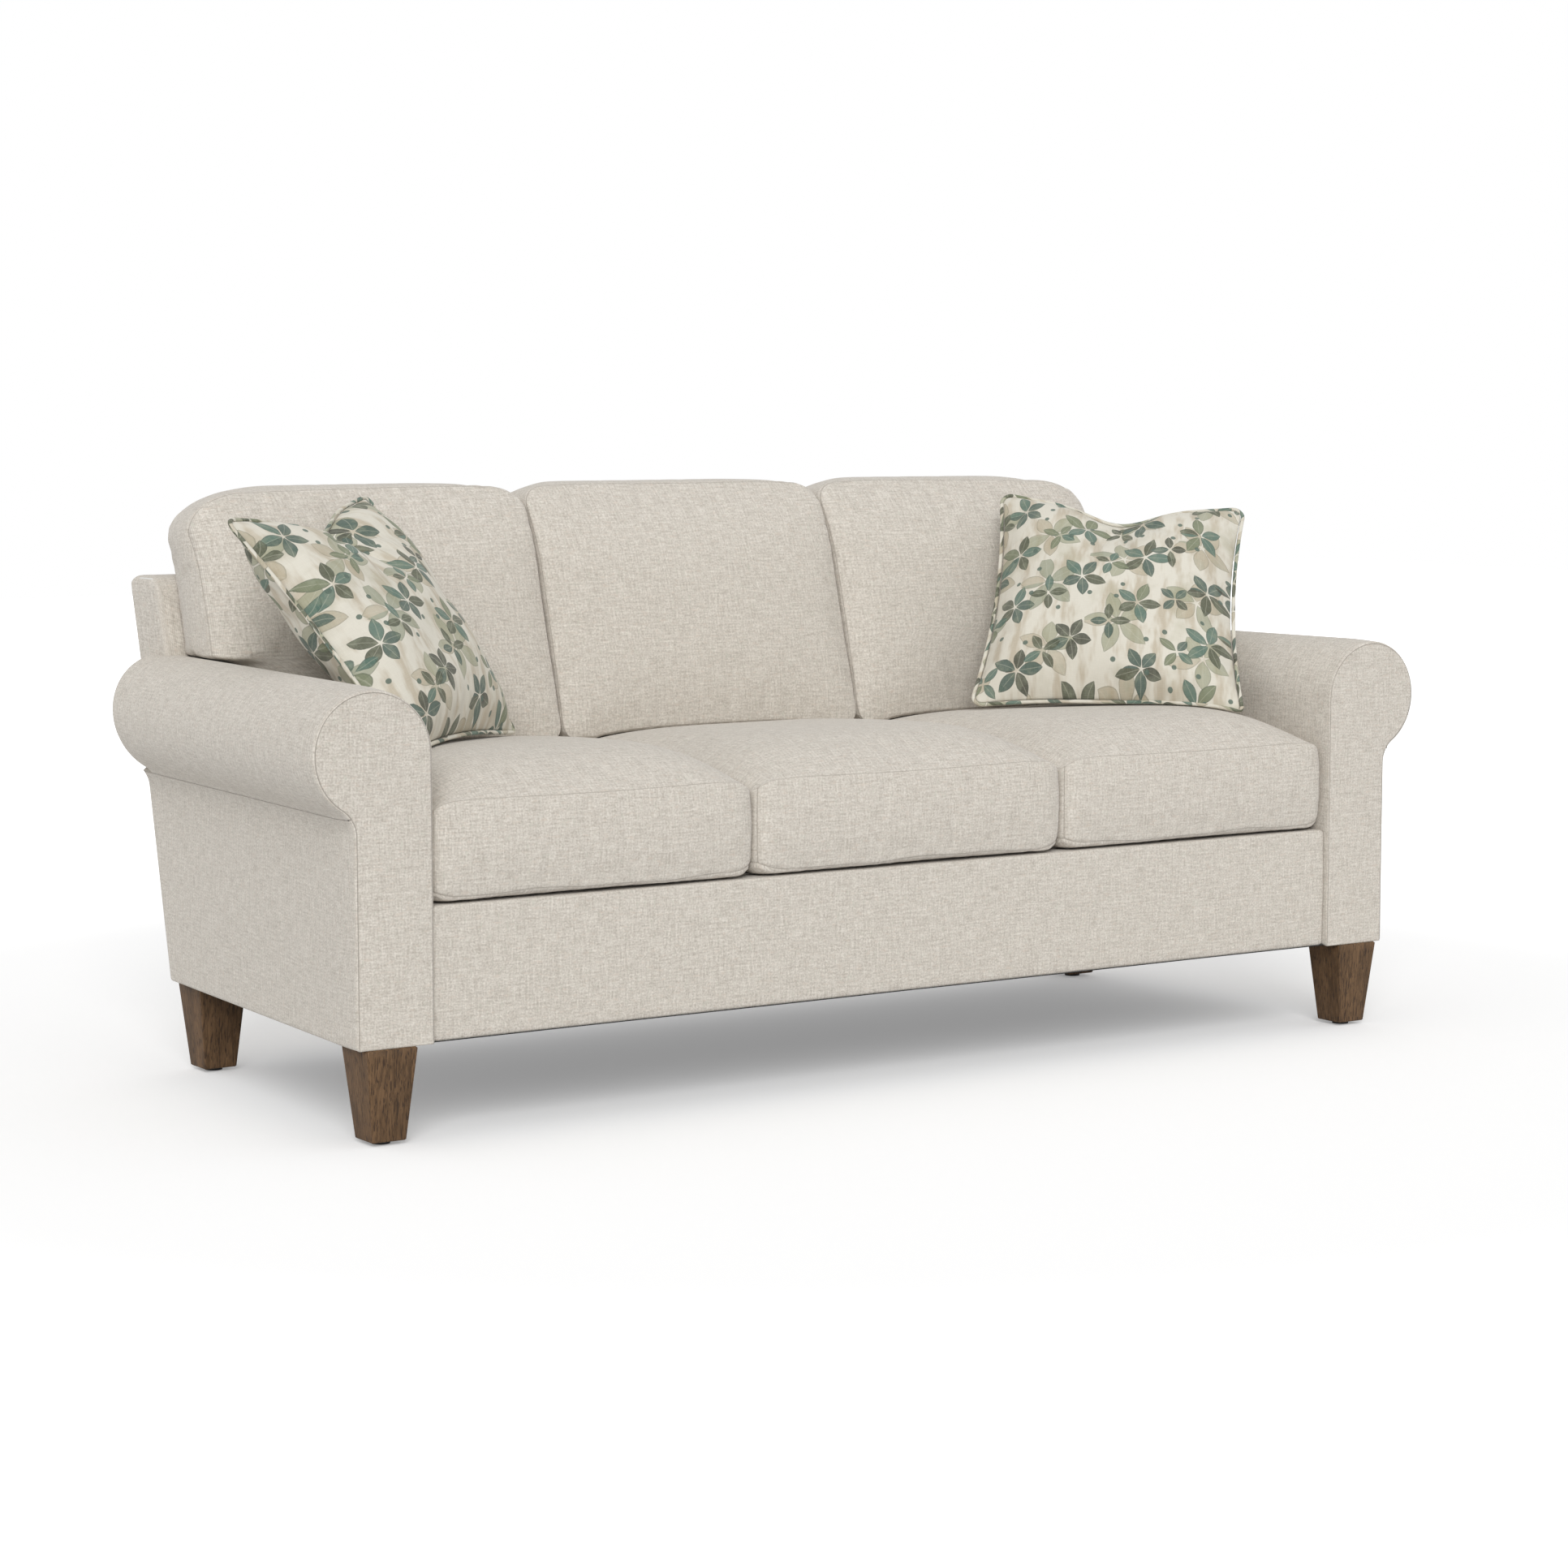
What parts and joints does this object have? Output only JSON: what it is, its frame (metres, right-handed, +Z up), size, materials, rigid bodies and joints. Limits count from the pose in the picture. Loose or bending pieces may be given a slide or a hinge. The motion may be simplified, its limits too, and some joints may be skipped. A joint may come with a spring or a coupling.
{
  "type": "sock arm sofa",
  "caption": "Sofa with rolled sock arms, loose crowned seat cushions, leaning back cushions with ears over the arms, tapered wooden legs and loose piped throw pillows.",
  "frame": {"origin": "on the floor under the middle of the sofa's box", "axes": "+X to the right end seen from the front, -Y towards the sitter's front, +Z up"},
  "size_m": [2.1306, 0.935, 0.9429],
  "materials": {
    "linen_cover": "heathered basket weave linen look",
    "printed_linen": "washed linen with a green and beige print",
    "deck_cloth": "plain weave over felt",
    "black_cloth": "thin non-woven",
    "wadding": "polyester wadding",
    "webbing": "elastic woven strap",
    "walnut": "satin medium walnut",
    "hardwood": "planed",
    "plywood": "sanded",
    "zinc_steel": "zinc plated",
    "glide_nylon": "moulded"
  },
  "bodies": {
    "sofa": {"front_rail": "hardwood", "rear_rail": "hardwood", "seat_side_rail_left": "hardwood", "seat_side_rail_right": "hardwood", "seat_stretchers": "hardwood", "seat_corner_blocks": "hardwood", "seat_straps_long": "webbing", "seat_straps_cross": "webbing", "deck_cover": "deck_cloth", "front_rail_cover": "linen_cover", "dust_cover": "black_cloth", "arm_front_post_left": "plywood", "arm_front_post_right": "plywood", "arm_rear_post_left": "plywood", "arm_rear_post_right": "plywood", "arm_bottom_rail_left": "hardwood", "arm_bottom_rail_right": "hardwood", "arm_top_rail_left": "hardwood", "arm_top_rail_right": "hardwood", "arm_padding_left": "wadding", "arm_padding_right": "wadding", "arm_cover_left": "linen_cover", "arm_cover_right": "linen_cover", "arm_front_panel_left": "linen_cover", "arm_front_panel_right": "linen_cover", "arm_outside_panel_left": "linen_cover", "arm_outside_panel_right": "linen_cover", "arm_bolts": "zinc_steel", "leg_blocks": "hardwood", "back_post_left": "hardwood", "back_post_right": "hardwood", "back_centre_posts": "hardwood", "back_top_rail": "hardwood", "back_bottom_rails": "hardwood", "back_straps": "webbing", "back_top_padding": "wadding", "inside_back_panel": "linen_cover", "outside_back_panel": "linen_cover", "back_border": "linen_cover", "leg_front_left": "walnut", "leg_front_right": "walnut", "leg_rear_left": "walnut", "leg_rear_right": "walnut", "leg_bolts": "zinc_steel", "leg_tee_nuts": "zinc_steel", "leg_glides": "glide_nylon", "back_cushion_left": "linen_cover", "back_cushion_centre": "linen_cover", "back_cushion_right": "linen_cover"},
    "left_seat_cushion": {"seat_cushion_left": "linen_cover"},
    "centre_seat_cushion": {"seat_cushion_centre": "linen_cover"},
    "right_seat_cushion": {"seat_cushion_right": "linen_cover"},
    "left_throw_pillow": {"throw_pillow_left": "printed_linen", "pillow_piping_left": "printed_linen"},
    "right_throw_pillow": {"throw_pillow_right": "printed_linen", "pillow_piping_right": "printed_linen"}
  },
  "joints": [
    {"name": "left_seat_cushion_pull", "type": "slide", "parent": "sofa", "child": "left_seat_cushion", "axis": [0, -1, 0], "range_m": [0, 0.72]},
    {"name": "centre_seat_cushion_pull", "type": "slide", "parent": "sofa", "child": "centre_seat_cushion", "axis": [0, -1, 0], "range_m": [0, 0.72]},
    {"name": "right_seat_cushion_pull", "type": "slide", "parent": "sofa", "child": "right_seat_cushion", "axis": [0, -1, 0], "range_m": [0, 0.72]},
    {"name": "left_pillow_lift", "type": "slide", "parent": "left_seat_cushion", "child": "left_throw_pillow", "axis": [0, 0, 1], "range_m": [0, 0.45]},
    {"name": "right_pillow_lift", "type": "slide", "parent": "right_seat_cushion", "child": "right_throw_pillow", "axis": [0, 0, 1], "range_m": [0, 0.45]}
  ]
}
